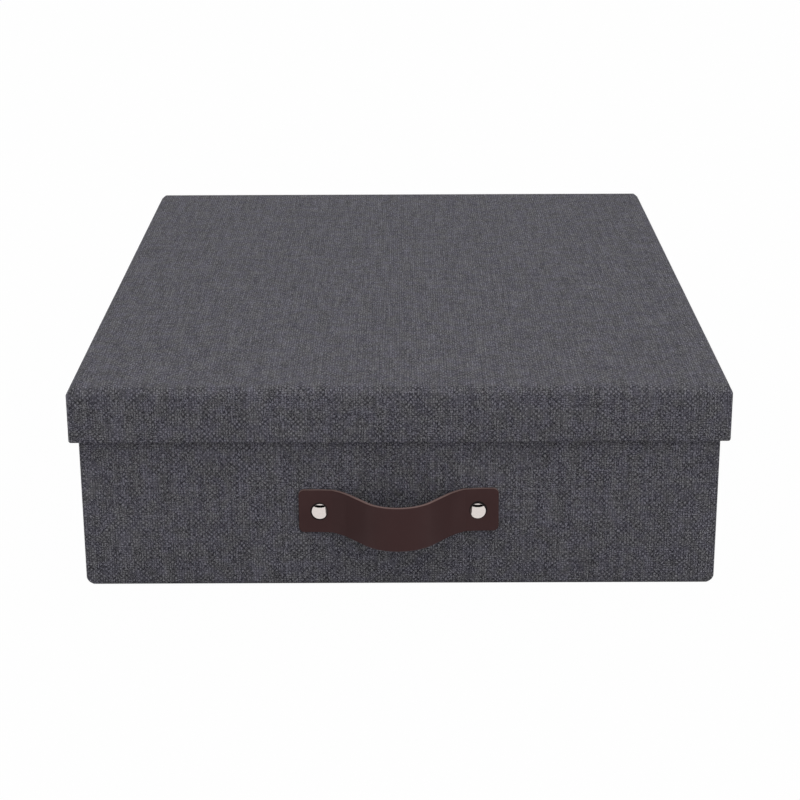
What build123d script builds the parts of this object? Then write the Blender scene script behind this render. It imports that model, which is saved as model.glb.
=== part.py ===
"""Lidded document box for A4 paper, with a riveted leather pull strap on its front wall.

Box and lid are each one blank of solid board, creased, folded into a tray and taped at the corners, then
covered with linen-finish paper outside and lined with plain paper inside. The lid lifts straight off.

The origin is the centre of the face that the box stands on. X runs along the front, Y to the back, Z up.
All sizes are in millimetres.
"""

import os
from dataclasses import dataclass
from math import asin, atan2, cos, degrees, hypot, radians, sin, sqrt

from build123d import *

# Outside of the closed box
lid_width = 260.0
lid_depth = 335.0
closed_height = 85.0
lid_side_height = 22.3

# Board and papers
board_thickness = 2.0
wrap_thickness = 0.3
liner_thickness = 0.2
base_sheet_thickness = 0.2
tape_thickness = 0.12

# Folds and corners, measured on the covered outside. The box's side walls fold up more softly than the others.
lid_bevel = 2.4
box_front_bevel = 1.4
box_side_bevel = 3.0
corner_radius = 0.9

# Gap between the lined wall of the lid and the covered wall of the box
lid_clearance = 0.8

# The side walls of a blank stop this far short of its front and back walls
butt_gap = 0.2

# Corner stays: the length of each leg, and how far they stop short of the fold
tape_leg = 12.0
tape_fold_margin = 0.5

# Laps of paper
box_turn_in = 15.0
lid_turn_in = 11.0
turn_under = 15.0
liner_lap = 5.0
mitre_gap = 0.4
base_sheet_margin = 2.0

# Pull strap: its rise is how far the middle of the bow stands out from the flat ends
strap_width = 18.0
strap_thickness = 2.0
strap_end_margin = 8.4
strap_end_radius = 2.3
strap_edge_break = 0.25
strap_rise = 20.6
strap_centre_x = -0.4
strap_centre_z = 33.0

# Its bow starts with a tight bend at the cap's edge. Radii are at mid-thickness.
clamp_radius = 3.0
clamp_angle = 28.0
flank_length = 10.5
crown_radius = 16.3

# Double-cap rivets: the front cap is domed, and the back cap is a flat disc
rivet_pitch = 62.9
cap_radius = 3.25
front_cap_height = 1.15
front_cap_edge_height = 0.65
front_cap_edge_radius = 0.45
back_cap_thickness = 0.7
back_cap_edge_break = 0.25
socket_radius = 1.5
socket_wall = 0.4
post_clearance = 0.1
bulb_clearance = 0.03
bulb_length = 0.8
rivet_hole_clearance = 0.1
socket_end_gap = 0.2
post_end_gap = 0.15
bow_start_margin = 0.05

wall_stack = wrap_thickness + board_thickness + liner_thickness

# The board lies one wrap thickness inside the covered bevels, so its own are this much smaller
bevel_step = wrap_thickness * (2 - sqrt(2))


@dataclass(frozen=True)
class Tray:
    """A folded, covered and lined tray, which stands on its panel with its rim up."""

    width: float
    depth: float
    panel: float
    rim: float
    front_bevel: float
    side_bevel: float
    turn_in: float

    @property
    def board_width(self):
        return self.width - 2 * wrap_thickness

    @property
    def board_depth(self):
        return self.depth - 2 * wrap_thickness

    @property
    def board_panel(self):
        return self.panel + wrap_thickness

    @property
    def board_rim(self):
        return self.rim - wrap_thickness

    @property
    def board_front_bevel(self):
        return self.front_bevel - bevel_step

    @property
    def board_side_bevel(self):
        return self.side_bevel - bevel_step

    @property
    def floor(self):
        return self.board_panel + board_thickness

    @property
    def inner_width(self):
        return self.board_width - 2 * board_thickness

    @property
    def inner_depth(self):
        return self.board_depth - 2 * board_thickness

    @property
    def turn_in_edge(self):
        return self.rim - self.turn_in


box = Tray(
    width=lid_width - 2 * (wall_stack + lid_clearance),
    depth=lid_depth - 2 * (wall_stack + lid_clearance),
    panel=base_sheet_thickness,
    rim=closed_height - wall_stack,
    front_bevel=box_front_bevel,
    side_bevel=box_side_bevel,
    turn_in=box_turn_in,
)

# The lid is made standing on its top, then turned over to its place on the box
lid = Tray(
    width=lid_width,
    depth=lid_depth,
    panel=0,
    rim=lid_side_height,
    front_bevel=lid_bevel,
    side_bevel=lid_bevel,
    turn_in=lid_turn_in,
)
turned_over = Plane.XY.offset(closed_height / 2)

board_corner_radius = corner_radius - wrap_thickness


def slab(width, depth, low, high, radius=0.0, mode=Mode.ADD):
    """Add or cut an upright slab centred on the Z axis, with rounded upright edges where radius is given."""
    with BuildSketch(Plane.XY.offset(low)) as outline:
        if radius > 0:
            RectangleRounded(width, depth, radius)
        else:
            Rectangle(width, depth)
    extrude(outline.sketch, amount=high - low, mode=mode)


def folded_block(width, depth, panel, rim, front_bevel, side_bevel, radius):
    """The outside of a folded tray, filled: upright walls, and a bevel where each folds up from the panel."""
    with BuildPart() as block:
        slab(width, depth, panel, rim, radius)
        for section, across, bevel in (
            (Plane.XZ, width / 2, side_bevel),
            (Plane.YZ, depth / 2, front_bevel),
        ):
            half = [(across, rim), (across, panel + bevel), (across - bevel, panel)]
            with BuildSketch(section) as outline:
                with BuildLine():
                    Polyline(*half, *[(-x, z) for x, z in reversed(half)], close=True)
                make_face()
            extrude(outline.sketch, amount=width + depth, both=True, mode=Mode.INTERSECT)
    return block.part


def board_block(tray):
    """The outside of a tray's board, filled."""
    return folded_block(
        tray.board_width,
        tray.board_depth,
        tray.board_panel,
        tray.board_rim,
        tray.board_front_bevel,
        tray.board_side_bevel,
        board_corner_radius,
    )


def folded_board(tray):
    """A tray's board: the front and back walls run right across, and the side walls butt between them."""
    with BuildPart() as board:
        add(board_block(tray))
        slab(tray.inner_width, tray.inner_depth, tray.floor, tray.board_rim, mode=Mode.SUBTRACT)
        with BuildSketch(Plane.XY.offset(tray.floor)):
            with GridLocations(tray.board_width - board_thickness, tray.inner_depth - butt_gap, 2, 2):
                Rectangle(board_thickness, butt_gap)
        extrude(amount=tray.board_rim - tray.floor, mode=Mode.SUBTRACT)
    return board.part


def corner_stay(tray, across, along):
    """A strip of tape folded round one upright corner of a tray's board. across and along are -1 or 1."""
    fold = max(tray.board_front_bevel, tray.board_side_bevel)
    low = tray.board_panel + fold + tape_fold_margin
    with BuildPart() as stay:
        with BuildSketch(Plane.XY.offset(low)):
            RectangleRounded(
                tray.board_width + 2 * tape_thickness,
                tray.board_depth + 2 * tape_thickness,
                board_corner_radius + tape_thickness,
            )
            RectangleRounded(
                tray.board_width, tray.board_depth, board_corner_radius, mode=Mode.SUBTRACT
            )
            with Locations((across * tray.board_width / 2, along * tray.board_depth / 2)):
                Rectangle(2 * tape_leg, 2 * tape_leg, mode=Mode.INTERSECT)
        extrude(amount=tray.board_rim - low)
    return stay.part


def covering(tray, stays):
    """The linen-finish paper on a tray: its outside, over the rim, and the strips turned in behind it."""
    with BuildPart() as paper:
        add(
            folded_block(
                tray.width,
                tray.depth,
                tray.panel,
                tray.rim,
                tray.front_bevel,
                tray.side_bevel,
                corner_radius,
            )
        )
        add(board_block(tray), mode=Mode.SUBTRACT)
        add(stays, mode=Mode.SUBTRACT)
        slab(tray.inner_width, tray.inner_depth, tray.turn_in_edge, tray.rim, mode=Mode.SUBTRACT)
        with BuildSketch(Plane.XY.offset(tray.turn_in_edge)):
            Rectangle(tray.inner_width, tray.inner_depth)
            Rectangle(
                tray.inner_width - 2 * wrap_thickness,
                tray.inner_depth - 2 * wrap_thickness,
                mode=Mode.SUBTRACT,
            )
            with GridLocations(
                tray.inner_width - wrap_thickness, tray.inner_depth - wrap_thickness, 2, 2
            ):
                parted = wrap_thickness + mitre_gap
                Rectangle(parted, parted, mode=Mode.SUBTRACT)
        extrude(amount=tray.turn_in)
        rim_edges = paper.faces().sort_by(Axis.Z)[-1].edges()
        fillet(rim_edges.filter_by(lambda edge: edge.length > parted), radius=wrap_thickness)
    return paper.part


def lining(tray):
    """The plain paper in a tray, which steps inwards where it laps over the turned-in strips."""
    paper = 2 * liner_thickness
    lapped_width = tray.inner_width - 2 * wrap_thickness
    lapped_depth = tray.inner_depth - 2 * wrap_thickness
    step = tray.turn_in_edge - liner_thickness
    top = tray.turn_in_edge + liner_lap
    with BuildPart() as sheet:
        slab(tray.inner_width, tray.inner_depth, tray.floor, tray.turn_in_edge)
        slab(lapped_width, lapped_depth, tray.turn_in_edge, top)
        slab(
            tray.inner_width - paper,
            tray.inner_depth - paper,
            tray.floor + liner_thickness,
            step,
            mode=Mode.SUBTRACT,
        )
        slab(lapped_width - paper, lapped_depth - paper, step, top, mode=Mode.SUBTRACT)
    return sheet.part


corners = {
    "front_left": (-1, -1),
    "front_right": (1, -1),
    "back_left": (-1, 1),
    "back_right": (1, 1),
}
pieces = {}

# The box's front wall and what is riveted to it

front_face = -box.depth / 2
grip = strap_thickness + wall_stack
rivets = {
    "left": strap_centre_x - rivet_pitch / 2,
    "right": strap_centre_x + rivet_pitch / 2,
}


def rivet_holes():
    """Cut both rivet holes, through the strap and the whole front wall."""
    strap_front = Plane.XZ.offset(strap_thickness - front_face)
    with BuildSketch(strap_front) as holes:
        with Locations(*[(x, strap_centre_z) for x in rivets.values()]):
            Circle(socket_radius + rivet_hole_clearance)
    extrude(holes.sketch, amount=-grip, mode=Mode.SUBTRACT)


with BuildPart() as box_board:
    add(folded_board(box))
    rivet_holes()
pieces["box_board"] = box_board

box_stays = []
for corner, (across, along) in corners.items():
    with BuildPart() as box_stay:
        add(corner_stay(box, across, along))
    pieces[f"box_stay_{corner}"] = box_stay
    box_stays.append(box_stay.part)

# The box's wrap is turned under its panel, and the strips are mitred where they meet
under_width = box.width - 2 * (box.side_bevel + turn_under)
under_depth = box.depth - 2 * (box.front_bevel + turn_under)
with BuildPart() as box_wrap:
    add(covering(box, box_stays))
    slab(under_width, under_depth, box.panel, box.board_panel, mode=Mode.SUBTRACT)
    with BuildSketch(Plane.XY.offset(box.panel)):
        for across, along in corners.values():
            with Locations(
                (across * (under_width + turn_under) / 2, along * (under_depth + turn_under) / 2)
            ):
                mitre_length = turn_under * sqrt(2) - mitre_gap
                Rectangle(mitre_length, mitre_gap, rotation=45 * across * along)
    extrude(amount=wrap_thickness, mode=Mode.SUBTRACT)
    rivet_holes()
pieces["box_wrap"] = box_wrap

with BuildPart() as box_liner:
    add(lining(box))
    rivet_holes()
pieces["box_liner"] = box_liner

# The base sheet covers the edges of the turned-under strips, and is pressed up to the board inside them
with BuildPart() as base_sheet:
    slab(
        box.width - 2 * (box.side_bevel + base_sheet_margin),
        box.depth - 2 * (box.front_bevel + base_sheet_margin),
        0,
        base_sheet_thickness,
    )
    slab(under_width, under_depth, 0, box.board_panel)
    pressed = 2 * base_sheet_thickness
    slab(under_width - pressed, under_depth - pressed, 0, wrap_thickness, mode=Mode.SUBTRACT)
pieces["base_sheet"] = base_sheet

# The strap lies flat under each rivet and bows out between them. From the edge of a cap, each half of the bow is
# a tight clamp bend, a wide foot bend, a straight flank and half of the crown bend, each tangent to the next.
# The foot bend gets the radius at which they meet: its centre lies foot_excess further out than the clamp
# bend's, along the line on which both bends end.
bow_half = rivet_pitch / 2 - cap_radius - bow_start_margin
clamp = radians(clamp_angle)
tight_bends = clamp_radius + crown_radius
drop = tight_bends - strap_rise
foot_excess = (bow_half**2 + drop**2 - tight_bends**2 - flank_length**2) / (
    2 * (tight_bends - bow_half * sin(clamp) - drop * cos(clamp))
)
foot_radius = clamp_radius + foot_excess
foot_centre = (bow_half + foot_excess * sin(clamp), clamp_radius + foot_excess * cos(clamp))
crown_centre = (0, strap_rise - crown_radius)
centres_across = foot_centre[0]
centres_up = foot_centre[1] - crown_centre[1]
bend_centres = hypot(centres_across, centres_up)
flank_slope = asin((foot_radius + crown_radius) / bend_centres) - atan2(centres_up, centres_across)
flank_angle = degrees(flank_slope)
strap_half_length = rivet_pitch / 2 + strap_end_margin


def strap_face(out):
    """Draw one face of the strap from end to end, a distance out from the middle of its thickness."""
    clamp_bend = CenterArc((bow_half, clamp_radius), clamp_radius - out, 270, -clamp_angle)
    foot_sweep = flank_angle - clamp_angle
    foot = CenterArc(foot_centre, foot_radius - out, 270 - clamp_angle, -foot_sweep)
    crown = CenterArc(crown_centre, crown_radius + out, 90 - flank_angle, flank_angle)
    Line((strap_half_length, out), clamp_bend @ 0)
    Line(foot @ 1, crown @ 0)
    mirror(about=Plane.YZ)


with BuildPart() as handle_strap:
    seen_from_below = Plane(
        (strap_centre_x, front_face - strap_thickness / 2, strap_centre_z + strap_width / 2),
        x_dir=(1, 0, 0),
        z_dir=(0, 0, -1),
    )
    with BuildSketch(seen_from_below):
        with BuildLine():
            for out in (-strap_thickness / 2, strap_thickness / 2):
                strap_face(out)
            for end in (-strap_half_length, strap_half_length):
                Line((end, -strap_thickness / 2), (end, strap_thickness / 2))
        make_face()
    extrude(amount=strap_width)
    ends = handle_strap.faces().filter_by(Axis.X).sort_by(Axis.X)
    end_corners = (ends[0].edges() + ends[-1].edges()).filter_by(Axis.Y)
    fillet(end_corners, radius=strap_end_radius)
    cut_faces = handle_strap.faces().filter_by(Axis.Z).edges().filter_by(Axis.Y, reverse=True)
    chamfer(cut_faces, length=strap_edge_break)
    rivet_holes()
pieces["handle_strap"] = handle_strap


# The front cap's socket runs through strap and wall, and the back cap's post snaps into it
dome_rise = front_cap_height - front_cap_edge_height
dome_radius = (cap_radius**2 + dome_rise**2) / (2 * dome_rise)
dome_angle = degrees(asin(cap_radius / dome_radius))
socket_bore = socket_radius - socket_wall
post_radius = socket_bore - post_clearance
bulb_radius = socket_bore - bulb_clearance
socket_length = grip - socket_end_gap
post_length = grip - post_end_gap


def cap_rim():
    """The corner of a cap's half section that becomes the outer edge of its face."""
    return vertices().group_by(Axis.X)[-1].sort_by(Axis.Y)[-1]


for side, x in rivets.items():
    seat = (x, front_face - strap_thickness, strap_centre_z)
    with BuildPart() as rivet_front:
        with BuildSketch(Plane(seat, x_dir=(1, 0, 0), z_dir=(0, 0, -1))):
            with BuildLine():
                dome_centre = (0, front_cap_height - dome_radius)
                dome = CenterArc(dome_centre, dome_radius, 90 - dome_angle, dome_angle)
                Polyline(dome @ 1, (0, 0), (cap_radius, 0), dome @ 0)
            make_face()
            fillet(cap_rim(), radius=front_cap_edge_radius)
            with Locations((socket_bore + socket_wall / 2, -socket_length / 2)):
                Rectangle(socket_wall, socket_length)
        revolve(axis=Axis(seat, (0, 1, 0)))
    pieces[f"rivet_front_{side}"] = rivet_front

    seat = (x, front_face + wall_stack, strap_centre_z)
    with BuildPart() as rivet_back:
        with BuildSketch(Plane(seat, x_dir=(1, 0, 0), z_dir=(0, 0, 1))):
            with Locations((cap_radius / 2, back_cap_thickness / 2)):
                Rectangle(cap_radius, back_cap_thickness)
            chamfer(cap_rim(), length=back_cap_edge_break)
            with Locations((post_radius / 2, -post_length / 2)):
                Rectangle(post_radius, post_length)
            with Locations((bulb_radius / 2, bulb_length / 2 - post_length)):
                Rectangle(bulb_radius, bulb_length)
        revolve(axis=Axis(seat, (0, 1, 0)))
    pieces[f"rivet_back_{side}"] = rivet_back

# Lid

with BuildPart() as lid_board:
    mirror(folded_board(lid), about=turned_over)
pieces["lid_board"] = lid_board

lid_stays = []
for corner, (across, along) in corners.items():
    standing = corner_stay(lid, across, along)
    with BuildPart() as lid_stay:
        mirror(standing, about=turned_over)
    pieces[f"lid_stay_{corner}"] = lid_stay
    lid_stays.append(standing)

with BuildPart() as lid_wrap:
    mirror(covering(lid, lid_stays), about=turned_over)
pieces["lid_wrap"] = lid_wrap

with BuildPart() as lid_liner:
    mirror(lining(lid), about=turned_over)
pieces["lid_liner"] = lid_liner

os.makedirs("parts", exist_ok=True)
for name, piece in pieces.items():
    piece.part.label = name
    export_step(piece.part, f"parts/{name}.step")

flat_length = strap_half_length - bow_half
foot_length = foot_radius * (flank_slope - clamp)
bow_length = clamp_radius * clamp + foot_length + flank_length + crown_radius * flank_slope
print(f"strap: cut length {2 * (flat_length + bow_length):.1f}, foot radius {foot_radius:.1f}")
print(f"strap: flank angle {flank_angle:.1f}")
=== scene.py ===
"""Looks of a lidded document box: linen-finish paper over board, a leather pull strap and nickel rivets.

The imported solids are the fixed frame. This script dresses them: it lays softly folded covering papers over
the box and its lid, and makes the strap and the rivet caps as finer meshes on the same seats. X runs along
the front, Y to the back, Z up, in metres. Sizes of the object are written in millimetres, times MM.
"""

from __future__ import annotations

import logging
import math
from collections.abc import Callable, Sequence
from dataclasses import dataclass
from enum import Enum

import bmesh
import bpy
from mathutils import Matrix, Vector, noise

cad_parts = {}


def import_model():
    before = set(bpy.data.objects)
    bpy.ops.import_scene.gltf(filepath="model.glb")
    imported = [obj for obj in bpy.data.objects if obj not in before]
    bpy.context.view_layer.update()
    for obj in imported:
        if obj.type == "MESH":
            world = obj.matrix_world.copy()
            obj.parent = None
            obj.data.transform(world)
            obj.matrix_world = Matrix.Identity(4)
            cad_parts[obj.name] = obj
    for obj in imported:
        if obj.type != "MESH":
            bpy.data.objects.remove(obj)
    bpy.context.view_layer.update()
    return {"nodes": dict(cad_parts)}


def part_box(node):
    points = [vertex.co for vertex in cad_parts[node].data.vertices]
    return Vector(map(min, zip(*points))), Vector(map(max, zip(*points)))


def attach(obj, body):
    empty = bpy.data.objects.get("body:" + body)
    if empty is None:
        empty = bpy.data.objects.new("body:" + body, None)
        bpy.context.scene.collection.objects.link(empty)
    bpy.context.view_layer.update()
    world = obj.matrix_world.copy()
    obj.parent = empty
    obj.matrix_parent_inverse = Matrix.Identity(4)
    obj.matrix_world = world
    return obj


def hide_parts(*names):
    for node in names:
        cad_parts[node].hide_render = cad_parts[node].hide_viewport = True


LOG = logging.getLogger("document_box")
MM = 0.001
SHEET_MAP = "sheet"
CUT_EDGE = "cut_edge"
SMOOTH_UP_TO = math.radians(38)
NOISE_LOW, NOISE_HIGH = 0.25, 0.75


class Side(Enum):
    """A wall of the box or lid, in the order in which a loop passes them."""

    FRONT = 0
    RIGHT = 1
    BACK = 2
    LEFT = 3


def linear(hex_colour: str) -> tuple[float, float, float, float]:
    """Turn an sRGB colour such as "#4b4a50" into linear RGBA.

    Args:
        hex_colour: The colour, as six hex digits after a hash.

    Returns:
        Linear red, green and blue, and an alpha of 1.
    """
    channels = [int(hex_colour[i : i + 2], 16) / 255 for i in (1, 3, 5)]
    low = [c / 12.92 if c <= 0.04045 else ((c + 0.055) / 1.055) ** 2.4 for c in channels]
    return (*low, 1.0)


def add_node(tree: bpy.types.NodeTree, kind: str, inputs: dict | None = None, **settings) -> bpy.types.Node:
    """Add a node with its settings, and fill its inputs.

    Args:
        tree: The tree that gets the node.
        kind: The node's type name.
        inputs: Input names or numbers, each with a value or with the output that feeds it.
        **settings: Properties of the node.

    Returns:
        The node.
    """
    node = tree.nodes.new(kind)
    for name, value in settings.items():
        setattr(node, name, value)
    for key, value in (inputs or {}).items():
        if isinstance(value, bpy.types.NodeSocket):
            tree.links.new(value, node.inputs[key])
        else:
            node.inputs[key].default_value = value
    return node


def new_material(name: str) -> tuple[bpy.types.Material, bpy.types.NodeTree, bpy.types.Node]:
    """Start a material with a bare Principled shader.

    Args:
        name: The material's name.

    Returns:
        The material, its tree and the shader node.
    """
    material = bpy.data.materials.new(name)
    material.use_nodes = True
    tree = material.node_tree
    tree.nodes.clear()
    shader = add_node(tree, "ShaderNodeBsdfPrincipled")
    add_node(tree, "ShaderNodeOutputMaterial", {"Surface": shader.outputs["BSDF"]})
    return material, tree, shader


def smooth_step(low: float, high: float, value: float) -> float:
    """Rise smoothly from 0 at low to 1 at high."""
    t = min(max((value - low) / (high - low), 0.0), 1.0)
    return t * t * (3 - 2 * t)


# Finishes


@dataclass(frozen=True)
class LinenPaper:
    """Covering paper, printed charcoal and embossed with a plain weave of uneven threads.

    The eye sees a crowd of fine pale flecks where upright threads pass over and dark specks where they dive,
    thin dark gaps between the threads, patches where the weave fades, and a faint drift from grey to violet.

    Attributes:
        wobble: How far threads stray sideways, in pitches, from one side to the other.
        weakest: The least force with which a crossing is pressed. Below 0 its fleck comes out dark.
        strongest: The greatest force.
        upright_gap: How dark the gaps between upright threads are.
        level_gap: How dark the gaps between level threads are.
        grain: How much the paper's own grain lightens or darkens it.
        lightening: What keeps the mean level at 0, so that faded patches are as light as the rest.
        faded: How much of the weave is left in the faded patches.
        upright_slub: How much lighter or darker an upright thread may run for a stretch.
        level_slub: How much a level one may.
    """

    name: str = "linen_finish_paper_charcoal"
    thread_pitch: float = 1.0 * MM
    pit: str = "#343338"
    ground: str = "#605f64"
    fleck: str = "#a1a0a5"
    violet: tuple[float, float, float, float] = (0.98, 0.97, 1.07, 1.0)
    slub_length: float = 25 * MM
    wobble_length: float = 3.5 * MM
    grain_size: float = 0.42 * MM
    patch_size: float = 9 * MM
    tint_size: float = 6 * MM
    wobble: float = 1.1
    weakest: float = -0.4
    strongest: float = 1.3
    upright_gap: float = 0.6
    level_gap: float = 0.4
    grain: float = 1.0
    lightening: float = 0.38
    faded: float = 0.65
    upright_slub: float = 0.16
    level_slub: float = 0.08
    relief: float = 0.48 * MM
    roughness: float = 0.8
    specular: float = 0.1

    def build(self) -> bpy.types.Material:
        """Build the material, which reads the piece's own map of the flat sheet, in metres."""
        material, tree, shader = new_material(self.name)
        sheet = add_node(tree, "ShaderNodeUVMap", uv_map=SHEET_MAP).outputs["UV"]
        wobble, grain, patches, tint = (
            add_node(
                tree,
                "ShaderNodeTexNoise",
                {"Vector": sheet, "Scale": 1 / size, "Detail": detail},
                noise_dimensions="2D",
            )
            for size, detail in (
                (self.wobble_length, 2.0),
                (self.grain_size, 1.0),
                (self.patch_size, 3.0),
                (self.tint_size, 1.0),
            )
        )
        centred = add_node(
            tree, "ShaderNodeVectorMath", {0: wobble.outputs["Color"], 1: (0.5,) * 3}, operation="SUBTRACT"
        )
        threads = add_node(
            tree, "ShaderNodeVectorMath", {0: sheet, 1: (1 / self.thread_pitch,) * 3}, operation="MULTIPLY"
        )
        bent = add_node(
            tree,
            "ShaderNodeVectorMath",
            {0: centred.outputs[0], 1: (self.wobble, self.wobble, 0.0), 2: threads.outputs[0]},
            operation="MULTIPLY_ADD",
        )
        turns = add_node(
            tree, "ShaderNodeVectorMath", {0: bent.outputs[0], 1: (math.pi,) * 3}, operation="MULTIPLY"
        )
        waves = add_node(tree, "ShaderNodeVectorMath", {0: turns.outputs[0]}, operation="SINE")
        wave = add_node(tree, "ShaderNodeSeparateXYZ", {0: waves.outputs[0]})
        over = add_node(
            tree, "ShaderNodeMath", {0: wave.outputs["X"], 1: wave.outputs["Y"]}, operation="MULTIPLY"
        )

        # Every crossing is pressed with its own force, so some flecks and specks stand out and others vanish.
        crossing = add_node(tree, "ShaderNodeVectorMath", {0: bent.outputs[0]}, operation="FLOOR")
        luck = add_node(
            tree, "ShaderNodeTexWhiteNoise", {"Vector": crossing.outputs[0]}, noise_dimensions="2D"
        )
        force = add_node(
            tree,
            "ShaderNodeMapRange",
            {"Value": luck.outputs["Value"], "To Min": self.weakest, "To Max": self.strongest},
        )
        crossed = add_node(
            tree, "ShaderNodeMath", {0: over.outputs[0], 1: force.outputs[0]}, operation="MULTIPLY"
        )

        # Dark gaps between the threads.
        level = crossed
        for axis, depth in (("X", self.upright_gap), ("Y", self.level_gap)):
            across = add_node(tree, "ShaderNodeMath", {0: wave.outputs[axis]}, operation="ABSOLUTE")
            gap = add_node(
                tree,
                "ShaderNodeMapRange",
                {"Value": across.outputs[0], "From Max": 0.75, "To Min": 1.0, "To Max": 0.0},
                interpolation_type="SMOOTHSTEP",
            )
            level = add_node(
                tree,
                "ShaderNodeMath",
                {0: gap.outputs[0], 1: -depth, 2: level.outputs[0]},
                operation="MULTIPLY_ADD",
            )
        rough = add_node(
            tree,
            "ShaderNodeMapRange",
            {
                "Value": grain.outputs["Fac"],
                "From Min": NOISE_LOW,
                "From Max": NOISE_HIGH,
                "To Min": self.lightening - self.grain,
                "To Max": self.lightening + self.grain,
            },
        )
        level = add_node(tree, "ShaderNodeMath", {0: level.outputs[0], 1: rough.outputs[0]}, operation="ADD")
        strength = add_node(
            tree,
            "ShaderNodeMapRange",
            {"Value": patches.outputs["Fac"], "From Min": 0.3, "From Max": 0.55, "To Min": self.faded},
            interpolation_type="SMOOTHSTEP",
        )
        level = add_node(
            tree, "ShaderNodeMath", {0: level.outputs[0], 1: strength.outputs[0]}, operation="MULTIPLY"
        )

        # Threads run a little lighter or darker for a few centimetres, the upright ones more clearly.
        for stretch, most in (
            ((1 / self.thread_pitch, 1 / self.slub_length, 0.0), self.upright_slub),
            ((1 / self.slub_length, 1 / self.thread_pitch, 0.0), self.level_slub),
        ):
            along = add_node(tree, "ShaderNodeVectorMath", {0: sheet, 1: stretch}, operation="MULTIPLY")
            slub = add_node(
                tree,
                "ShaderNodeTexNoise",
                {"Vector": along.outputs[0], "Scale": 0.8, "Detail": 1.0},
                noise_dimensions="2D",
            )
            shift = add_node(
                tree,
                "ShaderNodeMapRange",
                {
                    "Value": slub.outputs["Fac"],
                    "From Min": NOISE_LOW,
                    "From Max": NOISE_HIGH,
                    "To Min": -most,
                    "To Max": most,
                },
            )
            level = add_node(
                tree, "ShaderNodeMath", {0: level.outputs[0], 1: shift.outputs[0]}, operation="ADD"
            )
        value = add_node(
            tree, "ShaderNodeMapRange", {"Value": level.outputs[0], "From Min": -1.0, "From Max": 1.0}
        )
        ramp = add_node(tree, "ShaderNodeValToRGB", {"Fac": value.outputs[0]})
        stops = ramp.color_ramp.elements
        stops[0].color = linear(self.pit)
        stops[1].color = linear(self.fleck)
        stops.new(0.5).color = linear(self.ground)
        share = add_node(
            tree, "ShaderNodeMapRange", {"Value": tint.outputs["Fac"], "From Min": 0.35, "From Max": 0.65}
        )
        tinted = add_node(
            tree,
            "ShaderNodeMix",
            {0: share.outputs[0], 6: ramp.outputs["Color"], 7: self.violet},
            data_type="RGBA",
            blend_type="MULTIPLY",
        )
        bump = add_node(tree, "ShaderNodeBump", {"Height": level.outputs[0], "Distance": self.relief})
        tree.links.new(tinted.outputs[2], shader.inputs["Base Color"])
        tree.links.new(bump.outputs["Normal"], shader.inputs["Normal"])
        shader.inputs["Roughness"].default_value = self.roughness
        shader.inputs["Specular IOR Level"].default_value = self.specular
        return material


@dataclass(frozen=True)
class PlainPaper:
    """Uncoated paper or board. The eye sees a flat, dry sheet with soft clouds and short fibres in it."""

    name: str
    colour: str
    cloud: str
    fibre_size: float = 0.7 * MM
    cloud_size: float = 14 * MM
    roughness: float = 0.9
    specular: float = 0.15
    relief: float = 0.02 * MM

    def build(self) -> bpy.types.Material:
        """Build the material on object coordinates."""
        material, tree, shader = new_material(self.name)
        place = add_node(tree, "ShaderNodeTexCoord").outputs["Object"]
        clouds = add_node(
            tree, "ShaderNodeTexNoise", {"Vector": place, "Scale": 1 / self.cloud_size, "Detail": 4.0}
        )
        fibres = add_node(
            tree,
            "ShaderNodeTexNoise",
            {"Vector": place, "Scale": 1 / self.fibre_size, "Detail": 3.0, "Distortion": 1.2},
        )
        mixed = add_node(
            tree,
            "ShaderNodeMath",
            {0: clouds.outputs["Fac"], 1: fibres.outputs["Fac"]},
            operation="MULTIPLY",
        )
        share = add_node(
            tree, "ShaderNodeMapRange", {"Value": mixed.outputs[0], "From Min": 0.15, "From Max": 0.4}
        )
        colour = add_node(
            tree,
            "ShaderNodeMix",
            {0: share.outputs[0], 6: linear(self.cloud), 7: linear(self.colour)},
            data_type="RGBA",
        )
        bump = add_node(
            tree,
            "ShaderNodeBump",
            {"Height": fibres.outputs["Fac"], "Distance": self.relief, "Strength": 0.5},
        )
        tree.links.new(colour.outputs[2], shader.inputs["Base Color"])
        tree.links.new(bump.outputs["Normal"], shader.inputs["Normal"])
        shader.inputs["Roughness"].default_value = self.roughness
        shader.inputs["Specular IOR Level"].default_value = self.specular
        return material


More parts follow.
